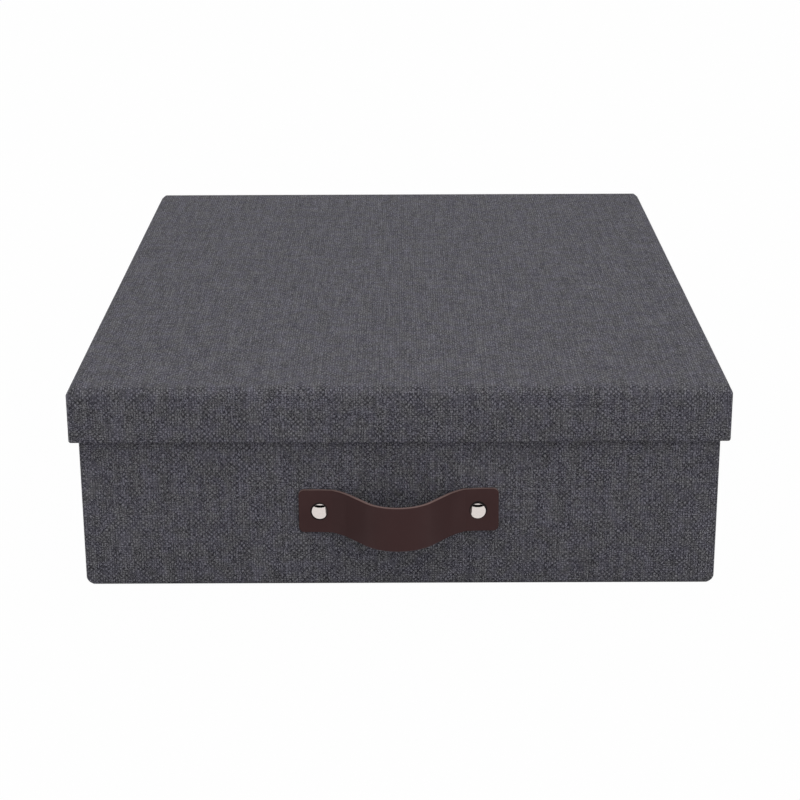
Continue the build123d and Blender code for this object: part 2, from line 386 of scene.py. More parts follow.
@dataclass(frozen=True)
class FinishedLeather:
    """Vegetable-tanned leather with a smooth pigmented face and raw cut edges.

    The eye sees a dark brown, faintly pored face with a soft satin shine, and along every cut a paler,
    pinkish, fibrous band. Round each rivet the leather is pressed in, and a nearly black ring of painted
    shadow lies at the cap's edge.

    Attributes:
        rivet_path: How far each rivet lies from the strap's middle, along the strap.
        painted_shadow_radius: Radius of the painted shadow ring round a rivet.
        painted_shadow_fade: How far the painted shadow fades out beyond it.
    """

    rivet_path: float
    painted_shadow_radius: float
    painted_shadow_fade: float = 0.25 * MM
    name: str = "pigmented_leather_dark_brown"
    face: str = "#382424"
    face_cloud: str = "#402b2b"
    # Colour of the painted shadow ring at each rivet cap's edge.
    painted_shadow_ring: str = "#120b0b"
    cut: str = "#937d79"
    cut_shade: str = "#5a4542"
    pore_size: float = 0.35 * MM
    cloud_size: float = 11 * MM
    fibre_size: float = 0.3 * MM
    relief: float = 0.03 * MM
    roughness: float = 0.5
    cut_roughness: float = 0.9
    specular: float = 0.12

    def build(self) -> bpy.types.Material:
        """Build the material, for a sheet with the mark CUT_EDGE at 1 on its cut edges."""
        material, tree, shader = new_material(self.name)
        sheet = add_node(tree, "ShaderNodeUVMap", uv_map=SHEET_MAP).outputs["UV"]
        place = add_node(tree, "ShaderNodeTexCoord").outputs["Object"]
        clouds = add_node(
            tree, "ShaderNodeTexNoise", {"Vector": place, "Scale": 1 / self.cloud_size, "Detail": 4.0}
        )
        pores = add_node(
            tree,
            "ShaderNodeTexVoronoi",
            {"Vector": sheet, "Scale": 1 / self.pore_size, "Randomness": 1.0},
            voronoi_dimensions="2D",
            feature="SMOOTH_F1",
        )
        fibres = add_node(
            tree,
            "ShaderNodeTexNoise",
            {"Vector": place, "Scale": 1 / self.fibre_size, "Detail": 3.0, "Distortion": 0.8},
        )
        edge = add_node(tree, "ShaderNodeAttribute", attribute_name=CUT_EDGE)
        face = add_node(
            tree,
            "ShaderNodeMix",
            {0: clouds.outputs["Fac"], 6: linear(self.face), 7: linear(self.face_cloud)},
            data_type="RGBA",
        )
        cut = add_node(
            tree,
            "ShaderNodeMix",
            {0: fibres.outputs["Fac"], 6: linear(self.cut_shade), 7: linear(self.cut)},
            data_type="RGBA",
        )
        colour = add_node(
            tree,
            "ShaderNodeMix",
            {0: edge.outputs["Fac"], 6: face.outputs[2], 7: cut.outputs[2]},
            data_type="RGBA",
        )
        # Painted shadow: a nearly black ring round each rivet, where the cap's edge shades the leather.
        mirrored = add_node(tree, "ShaderNodeVectorMath", {0: sheet}, operation="ABSOLUTE")
        from_rivet = add_node(
            tree,
            "ShaderNodeVectorMath",
            {0: mirrored.outputs[0], 1: (self.rivet_path, 0.0, 0.0)},
            operation="DISTANCE",
        )
        painted_shadow_ring = add_node(
            tree,
            "ShaderNodeMapRange",
            {
                "Value": from_rivet.outputs["Value"],
                "From Min": self.painted_shadow_radius,
                "From Max": self.painted_shadow_radius + self.painted_shadow_fade,
                "To Min": 1.0,
                "To Max": 0.0,
            },
        )
        shaded = add_node(
            tree,
            "ShaderNodeMix",
            {0: painted_shadow_ring.outputs[0], 6: colour.outputs[2], 7: linear(self.painted_shadow_ring)},
            data_type="RGBA",
        )
        rough = add_node(
            tree,
            "ShaderNodeMapRange",
            {"Value": edge.outputs["Fac"], "To Min": self.roughness, "To Max": self.cut_roughness},
        )
        grain = add_node(
            tree,
            "ShaderNodeMix",
            {0: edge.outputs["Fac"], 2: pores.outputs["Distance"], 3: fibres.outputs["Fac"]},
        )
        bump = add_node(
            tree,
            "ShaderNodeBump",
            {"Height": grain.outputs[0], "Distance": self.relief, "Strength": 0.35},
        )
        tree.links.new(shaded.outputs[2], shader.inputs["Base Color"])
        tree.links.new(rough.outputs[0], shader.inputs["Roughness"])
        tree.links.new(bump.outputs["Normal"], shader.inputs["Normal"])
        shader.inputs["Specular IOR Level"].default_value = self.specular
        return material


@dataclass(frozen=True)
class NickelPlate:
    """Bright nickel plating on a stamped steel cap. The eye sees warm mirror metal, cloudy in spots."""

    name: str = "nickel_plated_steel"
    colour: str = "#e6deda"
    cloud: str = "#cdc4c0"
    scuff_size: float = 0.6 * MM
    smooth: float = 0.03
    scuffed: float = 0.08

    def build(self) -> bpy.types.Material:
        """Build the material on object coordinates."""
        material, tree, shader = new_material(self.name)
        place = add_node(tree, "ShaderNodeTexCoord").outputs["Object"]
        scuffs = add_node(
            tree,
            "ShaderNodeTexNoise",
            {"Vector": place, "Scale": 1 / self.scuff_size, "Detail": 3.0, "Distortion": 2.0},
        )
        rough = add_node(
            tree,
            "ShaderNodeMapRange",
            {
                "Value": scuffs.outputs["Fac"],
                "From Min": 0.35,
                "From Max": 0.7,
                "To Min": self.smooth,
                "To Max": self.scuffed,
            },
        )
        colour = add_node(
            tree,
            "ShaderNodeMix",
            {0: scuffs.outputs["Fac"], 6: linear(self.cloud), 7: linear(self.colour)},
            data_type="RGBA",
        )
        tree.links.new(rough.outputs[0], shader.inputs["Roughness"])
        tree.links.new(colour.outputs[2], shader.inputs["Base Color"])
        shader.inputs["Metallic"].default_value = 1.0
        return material


# Meshes made of loops


@dataclass(frozen=True)
class Loop:
    """One level loop of a skin: a rectangle with rounded corners.

    Attributes:
        level_inset: How far its front and back sides lie inside the skin's outline.
        upright_inset: How far its right and left sides lie inside the outline.
        height: How far it lies above the skin's first face.
        level_sheet: How far its front and back sides lie from the middle of the flat sheet, along the sheet.
        upright_sheet: How far its right and left sides lie from there.
    """

    level_inset: float
    upright_inset: float
    height: float
    level_sheet: float
    upright_sheet: float


def level_loops(outline: Sequence[tuple[float, float, float]], half_x: float, half_y: float) -> list[Loop]:
    """Turn a section into loops that know their place on the flat sheet.

    Args:
        outline: Points of the section, each as both insets and a height, from the flat middle outwards.
        half_x: Half the skin's width.
        half_y: Half its depth.

    Returns:
        The loops.
    """
    level, upright, height = outline[0]
    level_sheet, upright_sheet = half_y - level, half_x - upright
    loops = []
    for here in outline:
        rise = here[2] - height
        level_sheet += math.hypot(here[0] - level, rise)
        upright_sheet += math.hypot(here[1] - upright, rise)
        level, upright, height = here
        loops.append(Loop(level, upright, height, level_sheet, upright_sheet))
    return loops


@dataclass
class LoopSkin:
    """A skin of four-sided faces through loops that share one set of stations.

    Attributes:
        half_x: Half the outline's width.
        half_y: Half the outline's depth.
        corner_radius: Radius of the outline's corners.
        across: Stations of the front and back sides, from -1 to 1.
        along: Stations of the right and left sides, from -1 to 1.
        corner_steps: Faces round each corner.
        lap: How far the right and left sides stand out from the corners, by height.
        lap_margin: How far short of a corner a lapping side ends.
    """

    half_x: float
    half_y: float
    corner_radius: float
    across: Sequence[float]
    along: Sequence[float]
    corner_steps: int = 5
    lap: Callable[[float], float] = lambda height: 0.0
    lap_margin: float = 0.0

    def sides(self) -> list[Side]:
        """Give the side of the flat sheet that each face of a ring of faces is cut from."""
        sides = []
        for side in Side:
            stations = self.across if side in (Side.FRONT, Side.BACK) else self.along
            flap = Side.FRONT if side in (Side.FRONT, Side.LEFT) else Side.BACK
            sides += [side] * (len(stations) - 1) + [flap] * self.corner_steps
        return sides

    def points(self, loop: Loop) -> list[Vector]:
        """Place the points of one loop, from the left end of the front side round by the right.

        Args:
            loop: The loop.

        Returns:
            The points, at z = 0.
        """
        lap = self.lap(loop.height)
        radius = max(self.corner_radius - max(loop.level_inset, loop.upright_inset), 0.0)
        reach = {True: self.half_y - loop.level_inset, False: self.half_x - loop.upright_inset}
        points = []
        for side in Side:
            level = side in (Side.FRONT, Side.BACK)
            run = reach[not level] - radius
            out = reach[level]
            turn = Matrix.Rotation(math.radians(90 * side.value), 3, "Z")
            if level:
                here = [Vector((t * run, -out, 0)) for t in self.across]
            else:
                end = run - (self.lap_margin if lap else 0.0)
                here = [Vector((t * end, -out - lap, 0)) for t in self.along]
            for step in range(1, self.corner_steps):
                angle = math.radians(90 * step / self.corner_steps)
                here.append(
                    Vector((run + radius * math.sin(angle), radius - out - radius * math.cos(angle), 0))
                )
            points += [turn @ point for point in here]
        return points

    def flat_place(self, side: Side, point: Vector, loop: Loop) -> Vector:
        """Find where a point of the skin lies on the flat sheet.

        Args:
            side: The side that the sheet is folded up on.
            point: The point.
            loop: Its loop.

        Returns:
            The place on the flat sheet.
        """
        return {
            Side.FRONT: Vector((point.x, -loop.level_sheet)),
            Side.RIGHT: Vector((loop.upright_sheet, point.y)),
            Side.BACK: Vector((point.x, loop.level_sheet)),
            Side.LEFT: Vector((-loop.upright_sheet, point.y)),
        }[side]

    def build(
        self,
        name: str,
        loops: Sequence[Loop],
        place: Callable[[Vector, Loop], Vector],
        filled: Sequence[Loop] = (),
        marks: dict[str, Callable[[Vector, Loop], float]] | None = None,
        turned_over: bool = False,
    ) -> bpy.types.Object:
        """Build the skin as an object.

        Args:
            name: The object's name.
            loops: The loops, from the flat middle outwards.
            place: Gives a point its final place.
            filled: Loops with square corners that are filled with a grid.
            marks: The names of point attributes, each with its value at a point.
            turned_over: True where place turns the skin over, so that its faces have to be reversed.

        Returns:
            The object, smooth-shaded, with its map of the flat sheet.
        """
        mesh = bmesh.new()
        sheet_map = mesh.loops.layers.uv.new(SHEET_MAP)
        marks = marks or {}
        for mark in marks:
            mesh.verts.layers.float.new(mark)

        def vertex(point: Vector, loop: Loop) -> bmesh.types.BMVert:
            made = mesh.verts.new(place(point, loop))
            for mark, value in marks.items():
                made[mesh.verts.layers.float[mark]] = value(point, loop)
            return made

        def face(corners: list[tuple[bmesh.types.BMVert, Vector]], back: bool) -> None:
            ordered = corners[::-1] if back else corners
            made = mesh.faces.new([corner[0] for corner in ordered])
            made.smooth = True
            for loop, corner in zip(made.loops, ordered):
                loop[sheet_map].uv = corner[1]

        rings = []
        for loop in loops:
            points = self.points(loop)
            rings.append([(vertex(point, loop), point, loop) for point in points])
        sides = self.sides()
        for inner, outer in zip(rings, rings[1:]):
            count = len(inner)
            for i, side in enumerate(sides):
                j = (i + 1) % count
                quad = [inner[i], inner[j], outer[j], outer[i]]
                corners = [(v, self.flat_place(side, p, at)) for v, p, at in quad]
                face(corners, turned_over)
        for loop in filled:
            rows = []
            for t in self.along:
                row = []
                for s in self.across:
                    reach = (self.half_x - loop.upright_inset, self.half_y - loop.level_inset)
                    point = Vector((s * reach[0], t * reach[1], 0))
                    row.append((vertex(point, loop), point.xy))
                rows.append(row)
            under = (loop is loops[0]) != turned_over
            for low, high in zip(rows, rows[1:]):
                for i in range(len(low) - 1):
                    face([low[i], low[i + 1], high[i + 1], high[i]], under)
        bmesh.ops.remove_doubles(mesh, verts=mesh.verts, dist=0.001 * MM)
        data = bpy.data.meshes.new(name)
        mesh.to_mesh(data)
        mesh.free()
        data.set_sharp_from_angle(angle=SMOOTH_UP_TO)
        piece = bpy.data.objects.new(name, data)
        bpy.context.scene.collection.objects.link(piece)
        return piece


def arc(
    centre: tuple[float, float], radius: float, start: float, end: float, steps: int
) -> list[tuple[float, float]]:
    """Divide an arc of a section.

    Args:
        centre: Its centre, as inset and height.
        radius: Its radius.
        start: The angle of its first point, in degrees, from the direction of growing inset.
        end: The angle of its last point.
        steps: How many parts it has.

    Returns:
        The points, as inset and height, both ends included.
    """
    angles = [math.radians(start + (end - start) * step / steps) for step in range(steps + 1)]
    return [(centre[0] + radius * math.cos(a), centre[1] + radius * math.sin(a)) for a in angles]


def stations(half: float, pitch: float) -> list[float]:
    """Spread stations over a side, with closer ones near its ends.

    Args:
        half: Half the side's length.
        pitch: The distance between stations in the middle.

    Returns:
        The stations, from -1 to 1.
    """
    near_ends = (0.6 * MM, 1.5 * MM, 3 * MM, 6 * MM)
    inner = half - 2 * near_ends[-1]
    count = max(round(2 * inner / pitch), 1)
    spread = [(-inner + 2 * inner * i / count) / half for i in range(count + 1)]
    ends = [sign * (1 - near / half) for near in (0.0, *near_ends) for sign in (-1, 1)]
    return sorted({*spread, *ends})


def finished(piece: bpy.types.Object, material: bpy.types.Material) -> bpy.types.Object:
    """Give a piece its material, and apply its modifiers.

    Args:
        piece: The piece.
        material: Its material.

    Returns:
        The piece, with a plain mesh.
    """
    piece.data.materials.clear()
    piece.data.materials.append(material)
    evaluated = piece.evaluated_get(bpy.context.evaluated_depsgraph_get())
    plain = bpy.data.meshes.new_from_object(evaluated)
    plain.name = piece.name
    piece.modifiers.clear()
    piece.data = plain
    return piece


def shown_as(piece: bpy.types.Object, body: str, slot: str, *nodes: str) -> None:
    """Let a piece move with a body and stand for solids of the frame.

    Args:
        piece: The piece.
        body: The body that it moves with.
        slot: Not used.
        *nodes: The solids that it stands for.
    """
    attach(piece, body)
    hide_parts(*nodes)
    LOG.info("%s: %d faces, on %s, for %s", piece.name, len(piece.data.polygons), body, ", ".join(nodes))


# Papers over the folded trays


@dataclass
class Covering:
    """The covering paper of one tray, folded over its creases and its rim.

    Attributes:
        name: The piece's name.
        node: The solid that it stands for.
        body: The body that it moves with.
        turned_over: True for the lid, whose panel is on top.
        front_bevel: How far the front and back folds are bevelled.
        side_bevel: How far the folds of the right and left walls are.
        turn_in: How deep the paper is turned in behind the rim.
        turn_under: How far it is turned under the panel, or nothing where it covers the panel.
        flap_lap: How far the side flaps stand out, as they are glued over the front and back ones.
        lap_margin: How far short of a corner they end.
        bow: How far a wall swells outwards at most.
        rim_wave: How far the rim waves up and down.
        panel_wave: How far the panel does, round its flat middle.
        corner_hold: How far from a corner a wall begins to be held straight.
        panel_hold: How far from its fold the panel begins to be held flat.
        seed: Picks the waves.
    """

    name: str
    node: str
    body: str
    turned_over: bool
    front_bevel: float
    side_bevel: float
    turn_in: float
    turn_under: float | None = None
    flap_lap: float = 0.0
    lap_margin: float = 0.4 * MM
    wall: float = 2.6 * MM
    crease_radius: float = 1.6 * MM
    corner_radius: float = 0.9 * MM
    rim_radius: float = 0.45 * MM
    paper: float = 0.3 * MM
    bow: float = 0.28 * MM
    rim_wave: float = 0.16 * MM
    wave_length: float = 60 * MM
    panel_wave: float = 0.12 * MM
    corner_hold: float = 14 * MM
    panel_hold: float = 25 * MM
    station_pitch: float = 7 * MM
    seed: float = 0.0

    def fold_levels(self, bevel: float) -> list[float]:
        """Give the heights of the loops round one fold, which is a bevel between two soft creases."""
        radius = self.crease_radius
        end = bevel + radius * math.tan(math.radians(22.5))
        turns = [math.radians(15 * step) for step in range(4)]
        low = [radius * (1 - math.cos(turn)) for turn in turns]
        return low + [end - radius * math.sin(turn) for turn in turns]

    def fold_inset(self, bevel: float, height: float) -> float:
        """Give how far a fold lies inside the outline at a height above the panel."""
        radius = self.crease_radius
        end = bevel + radius * math.tan(math.radians(22.5))
        if height < radius * (1 - math.sqrt(0.5)):
            return end - math.sqrt(radius**2 - (radius - height) ** 2)
        if height < end - radius * math.sqrt(0.5):
            return bevel - height
        return radius - math.sqrt(radius**2 - max(end - height, 0.0) ** 2)

    def section(self, half_x: float, half_y: float, height: float) -> list[Loop]:
        """Work out the loops, from the panel over the fold and the wall to the end of the turn-in.

        Args:
            half_x: Half the tray's width.
            half_y: Half its depth.
            height: Its height.

        Returns:
            The loops.
        """
        folds = sorted({*self.fold_levels(self.front_bevel), *self.fold_levels(self.side_bevel)})
        bevels = (self.front_bevel, self.side_bevel)
        insets = [(*(self.fold_inset(bevel, z) for bevel in bevels), z) for z in folds]
        outline = []
        if self.turn_under is not None:
            outline.append((insets[0][0] + self.turn_under, insets[0][1] + self.turn_under, 0.0))
        outline += insets
        low, top = folds[-1], height - self.rim_radius
        levels = max(round((top - low) / self.station_pitch), 3)
        outline += [(0.0, 0.0, low + (top - low) * i / levels) for i in range(1, levels)]
        rim = arc((self.rim_radius, top), self.rim_radius, 180, 90, 4)
        rim += arc((self.wall - self.rim_radius, top), self.rim_radius, 90, 0, 4)
        inner = height - self.turn_in
        rim += [(self.wall, top + (inner - top) * i / 2) for i in (1, 2)]
        outline += [(inset, inset, level) for inset, level in rim]
        return level_loops(outline, half_x, half_y)

    def build(self, material: bpy.types.Material) -> bpy.types.Object:
        """Build the covering, give it its paper's thickness and lay it in the frame.

        Args:
            material: The paper's finish.

        Returns:
            The piece.
        """
        low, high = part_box(self.node)
        half_x, half_y, height = high.x, high.y, high.z - low.z
        loops = self.section(half_x, half_y, height)
        fold = max(self.front_bevel, self.side_bevel)
        base, up = (high.z, -1) if self.turned_over else (low.z, 1)
        panel_inset = loops[0].level_inset

        def lap(level: float) -> float:
            return self.flap_lap * smooth_step(0.2 * fold, 0.8 * fold, level)

        skin = LoopSkin(
            half_x,
            half_y,
            self.corner_radius,
            stations(half_x - self.corner_radius, self.station_pitch),
            stations(half_y - self.corner_radius, self.station_pitch),
            lap=lap,
            lap_margin=self.lap_margin,
        )

        def place(point: Vector, loop: Loop) -> Vector:
            share_x, share_y = point.x / half_x, point.y / half_y
            out = Vector((round(share_x), 0, 0) if abs(share_x) > abs(share_y) else (0, round(share_y), 0))
            from_corner = half_y - abs(point.y) if out.x else half_x - abs(point.x)
            from_fold = min(half_x - abs(point.x), half_y - abs(point.y)) if out.length else 0.0
            inside = loop.level_inset > self.wall / 2 and loop.height > 2 * fold
            at = Vector((point.x, point.y, self.seed)) / self.wave_length
            swell = 0.5 + noise.noise(at + Vector((0, 0, 7 + loop.height / self.wave_length)))
            bulge = 0.0 if inside else self.bow * max(swell, 0.0) * smooth_step(0, 3 * fold, loop.height)
            bulge *= smooth_step(0, self.corner_hold, from_corner)
            wave = self.rim_wave * noise.noise(2 * at) * smooth_step(height / 2, height, loop.height)
            if loop.height < 0.5 * fold and from_fold > panel_inset:
                hold = smooth_step(panel_inset, self.panel_hold, from_fold)
                wave += self.panel_wave * noise.noise(at) * hold
            level = base + up * (loop.height + wave)
            return point + out * bulge + Vector((0, 0, level))

        piece = skin.build(
            self.name,
            loops,
            place,
            filled=loops[:1] if self.turn_under is None else (),
            turned_over=self.turned_over,
        )
        thickness = piece.modifiers.new("paper thickness", "SOLIDIFY")
        thickness.thickness = self.paper
        thickness.offset = -1
        return finished(piece, material)


# Strap and rivets


@dataclass
class PullStrap:
    """The leather strap, cut flat with rounded corners and bowed out between its rivets.

    Attributes:
        end_margin: How far each end reaches past its rivet's middle.
        rise: How far the middle of the bow stands out from the flat ends.
        start_margin: How far from a cap's edge the bow begins.
        clamp_radius: Radius of the tight bend beside each cap.
        clamp_angle: How far that bend turns.
        flank: Length of the straight stretch on each side of the crown.
        tilt: How far the strap hangs out of level.
        lift: How much higher it sits than its solid.
        dent: How deep the leather is pressed in under each cap.
        dent_reach: How far the dent runs out past the cap.
    """

    name: str = "leather_pull_strap"
    node: str = "handle_strap"
    width: float = 18 * MM
    thickness: float = 2 * MM
    end_margin: float = 8.4 * MM
    end_radius: float = 2.3 * MM
    edge_round: float = 0.5 * MM
    rise: float = 20.6 * MM
    rivet_pitch: float = 62.9 * MM
    cap_radius: float = 3.25 * MM
    start_margin: float = 0.05 * MM
    clamp_radius: float = 3.0 * MM
    clamp_angle: float = math.radians(28)
    flank: float = 10.5 * MM
    crown_radius: float = 16.3 * MM
    tilt: float = math.radians(0.35)
    lift: float = 0.15 * MM
    dent: float = 0.35 * MM
    dent_reach: float = 1.2 * MM
    face_pitch: float = 0.45 * MM

    def __post_init__(self) -> None:
        """Work out each half of the bow as bends, whose lengths and curvatures are listed from the crown."""
        bow_half = self.rivet_pitch / 2 - self.cap_radius - self.start_margin
        tight = self.clamp_radius + self.crown_radius
        drop = tight - self.rise
        across, up = math.sin(self.clamp_angle), math.cos(self.clamp_angle)
        excess = (bow_half**2 + drop**2 - tight**2 - self.flank**2) / (
            2 * (tight - bow_half * across - drop * up)
        )
        foot_radius = self.clamp_radius + excess
        centres = (bow_half + excess * across, drop + excess * up)
        reach = math.asin((foot_radius + self.crown_radius) / math.hypot(*centres))
        slope = reach - math.atan2(*centres[::-1])
        self.bends = (
            (self.crown_radius * slope, 1 / self.crown_radius),
            (self.flank, 0.0),
            (foot_radius * (slope - self.clamp_angle), -1 / foot_radius),
            (self.clamp_radius * self.clamp_angle, -1 / self.clamp_radius),
        )
        self.bow_length = sum(length for length, _ in self.bends)
        self.rivet_path = self.bow_length + self.cap_radius + self.start_margin
        self.half_length = self.rivet_path + self.end_margin

    def path(self, distance: float) -> tuple[float, float, float]:
        """Follow the strap's middle from the crown.

        Args:
            distance: Distance along the strap from its middle, either way.

        Returns:
            Place along the wall, distance out from the flat ends, and slope angle.
        """
        left, x, out, angle = abs(distance), 0.0, self.rise, 0.0
        for length, curvature in self.bends:
            step = min(left, length)
            turn = curvature * step
            middle = angle + turn / 2
            chord = step * (math.sin(turn / 2) / (turn / 2) if turn else 1.0)
            x, out = x + chord * math.cos(middle), out - chord * math.sin(middle)
            angle += turn
            left -= step
        return math.copysign(x + left, distance), out, math.copysign(angle, distance)

    def build(self, material: bpy.types.Material) -> bpy.types.Object:
        """Build the strap on its seat.

        Args:
            material: The leather's finish.

        Returns:
            The piece.
        """
        low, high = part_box(self.node)
        centre = Vector(((low.x + high.x) / 2, high.y - self.thickness / 2, (low.z + high.z) / 2))
        skin = LoopSkin(
            self.half_length,
            self.width / 2,
            self.end_radius,
            stations(self.half_length, self.face_pitch),
            stations(self.width / 2 - self.end_radius, self.face_pitch),
            corner_steps=8,
        )
        rim = arc((self.edge_round, self.edge_round), self.edge_round, 270, 180, 3)
        rim += arc((self.edge_round, self.thickness - self.edge_round), self.edge_round, 180, 90, 3)
        # Loops on both flat faces, ever nearer to the rounded edge.
        insets = [self.end_radius * (1 - step / 6) for step in range(5)]
        outline = [(inset, 0.0) for inset in insets] + rim
        outline += [(inset, self.thickness) for inset in insets[::-1]]
        outline = [(inset, inset, height) for inset, height in outline]
        loops = level_loops(outline, self.half_length, self.width / 2)
        hang = Matrix.Rotation(-self.tilt, 3, "Y")

        def place(point: Vector, loop: Loop) -> Vector:
            x, out, angle = self.path(point.x)
            from_rivet = math.hypot(abs(point.x) - self.rivet_path, point.y)
            past_cap = smooth_step(self.cap_radius, self.cap_radius + self.dent_reach, from_rivet)
            dent = self.dent * (1 - past_cap)
            off = loop.height - self.thickness / 2
            if loop.height > self.thickness / 2:
                off -= dent
            x += off * math.sin(angle)
            out += off * math.cos(angle)
            return centre + hang @ Vector((x, -out, point.y + self.lift))

        def cut_edge(point: Vector, loop: Loop) -> float:
            return 1.0 if loop.level_inset < 0.1 * self.edge_round else 0.0

        piece = skin.build(
            self.name,
            loops,
            place,
            filled=(loops[0], loops[-1]),
            marks={CUT_EDGE: cut_edge},
        )
        return finished(piece, material)


class CapSection(Enum):
    """A rivet cap's section from its middle to its rim, as shares of its radius and its height."""

    DOMED = (
        (0, 1), (0.25, 0.956), (0.5, 0.819), (0.7, 0.638),
        (0.85, 0.451), (0.93, 0.331), (0.98, 0.24), (1, 0),
    )
    FLAT = ((0, 1), (0.8, 1), (0.9, 0.94), (0.97, 0.7), (1, 0))


@dataclass
class RivetCaps:
    """A pair of rivet caps on one face of the wall, made by a geometry node tree.

    Attributes:
        name: The piece's name.
        nodes: The solids that it stands for, left one first.
        facing: The side that the caps face.
        height: How far they stand off their seat.
        section: Their section.
    """

    name: str
    nodes: tuple[str, str]
    facing: Side
    height: float
    section: CapSection
    radius: float = 3.25 * MM
    around: int = 64
    down: int = 36

    def tree(self, material: bpy.types.Material) -> bpy.types.GeometryNodeTree:
        """Build the tree: a grid is wrapped into a cap by its profile, and set on each seat.

        Args:
            material: The caps' finish.

        Returns:
            The tree.
        """
        tree = bpy.data.node_groups.new(f"{self.name}_tree", "GeometryNodeTree")
        for name, kind in (
            ("Radius", "NodeSocketFloat"),
            ("Height", "NodeSocketFloat"),
            ("First Seat", "NodeSocketVector"),
            ("Step", "NodeSocketVector"),
            ("Facing", "NodeSocketRotation"),
        ):
            tree.interface.new_socket(name, in_out="INPUT", socket_type=kind)
        tree.interface.new_socket("Geometry", in_out="OUTPUT", socket_type="NodeSocketGeometry")
        given = add_node(tree, "NodeGroupInput").outputs
        grid = add_node(
            tree,
            "GeometryNodeMeshGrid",
            {"Size X": 1.0, "Size Y": 1.0, "Vertices X": self.around + 1, "Vertices Y": self.down + 1},
        )
        place = add_node(
            tree, "ShaderNodeSeparateXYZ", {0: add_node(tree, "GeometryNodeInputPosition").outputs[0]}
        )
        turn = add_node(
            tree, "ShaderNodeMath", {0: place.outputs["X"], 1: 2 * math.pi}, operation="MULTIPLY"
        )
        slope = add_node(
            tree,
            "ShaderNodeMapRange",
            {"Value": place.outputs["Y"], "From Min": -0.5, "From Max": 0.5, "To Max": math.pi / 2},
        )
        outward = add_node(tree, "ShaderNodeMath", {0: slope.outputs[0]}, operation="SINE")
        section = add_node(tree, "ShaderNodeFloatCurve", {"Value": outward.outputs[0]})
        curve = section.mapping.curves[0]
        middle, *between, rim = self.section.value
        for share, height in between:
            curve.points.new(share, height)
        curve.points[0].location, curve.points[-1].location = middle, rim
        section.mapping.update()
        reach = add_node(
            tree, "ShaderNodeMath", {0: outward.outputs[0], 1: given["Radius"]}, operation="MULTIPLY"
        )
        rise = add_node(
            tree, "ShaderNodeMath", {0: section.outputs[0], 1: given["Height"]}, operation="MULTIPLY"
        )
        sweep = {}
        for axis, part in (("X", "COSINE"), ("Y", "SINE")):
            wave = add_node(tree, "ShaderNodeMath", {0: turn.outputs[0]}, operation=part)
            sweep[axis] = add_node(
                tree,
                "ShaderNodeMath",
                {0: wave.outputs[0], 1: reach.outputs[0]},
                operation="MULTIPLY",
            ).outputs[0]
        there = add_node(tree, "ShaderNodeCombineXYZ", {**sweep, "Z": rise.outputs[0]})
        dome = add_node(
            tree,
            "GeometryNodeSetPosition",
            {"Geometry": grid.outputs["Mesh"], "Position": there.outputs[0]},
        )
        base = add_node(
            tree,
            "GeometryNodeMeshCircle",
            {"Vertices": self.around, "Radius": given["Radius"]},
            fill_type="NGON",
        )
        turned = add_node(tree, "GeometryNodeFlipFaces", {"Mesh": base.outputs["Mesh"]})
        whole = add_node(tree, "GeometryNodeJoinGeometry")
        tree.links.new(turned.outputs[0], whole.inputs[0])
        tree.links.new(dome.outputs[0], whole.inputs[0])
        cap = add_node(
            tree, "GeometryNodeMergeByDistance", {"Geometry": whole.outputs[0], "Distance": 0.002 * MM}
        )
        seats = add_node(
            tree,
            "GeometryNodeMeshLine",
            {"Count": 2, "Start Location": given["First Seat"], "Offset": given["Step"]},
        )
        caps = add_node(
            tree,
            "GeometryNodeInstanceOnPoints",
            {"Points": seats.outputs["Mesh"], "Instance": cap.outputs[0], "Rotation": given["Facing"]},
        )
        real = add_node(tree, "GeometryNodeRealizeInstances", {"Geometry": caps.outputs[0]})
        smooth = add_node(
            tree, "GeometryNodeSetShadeSmooth", {"Geometry": real.outputs[0], "Shade Smooth": True}
        )
        coated = add_node(
            tree, "GeometryNodeSetMaterial", {"Geometry": smooth.outputs[0], "Material": material}
        )
        add_node(tree, "NodeGroupOutput", {"Geometry": coated.outputs[0]})
        return tree

    def build(self, material: bpy.types.Material) -> bpy.types.Object:
        """Build the pair of caps on their seats.

        Args:
            material: The caps' finish.

        Returns:
            The piece.
        """
        front = self.facing is Side.FRONT
        seats = []
        for node in self.nodes:
            low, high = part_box(node)
            seat = low.y + self.height if front else high.y - self.height
            seats.append(Vector(((low.x + high.x) / 2, seat, (low.z + high.z) / 2)))
        piece = bpy.data.objects.new(self.name, bpy.data.meshes.new(self.name))
        bpy.context.scene.collection.objects.link(piece)
        modifier = piece.modifiers.new("caps", "NODES")
        modifier.node_group = self.tree(material)
        values = {
            "Radius": self.radius,
            "Height": self.height,
            "First Seat": seats[0],
            "Step": seats[1] - seats[0],
            "Facing": (math.radians(90 if front else -90), 0.0, 0.0),
        }
        for socket in modifier.node_group.interface.items_tree:
            if socket.in_out == "INPUT":
                modifier[socket.identifier] = values[socket.name]
        piece = finished(piece, material)
        piece.data.set_sharp_from_angle(angle=SMOOTH_UP_TO)
        return piece


# Surroundings


@dataclass(frozen=True)
class SoftBox:
    """A large soft lamp, which lights the object but isn't mirrored in it."""

    name: str
    place: tuple[float, float, float]
    aim: tuple[float, float, float]
    size: tuple[float, float]
    watts: float

    def build(self) -> None:
        """Hang the lamp and turn it to its aim."""
        data = bpy.data.lights.new(self.name, "AREA")
        data.shape = "RECTANGLE"
        data.size, data.size_y = self.size
        data.energy = self.watts
        lamp = bpy.data.objects.new(self.name, data)
        lamp.location = self.place
        toward = Vector(self.aim) - Vector(self.place)
        lamp.rotation_euler = toward.to_track_quat("-Z", "Y").to_euler()
        lamp.visible_glossy = False
        bpy.context.scene.collection.objects.link(lamp)


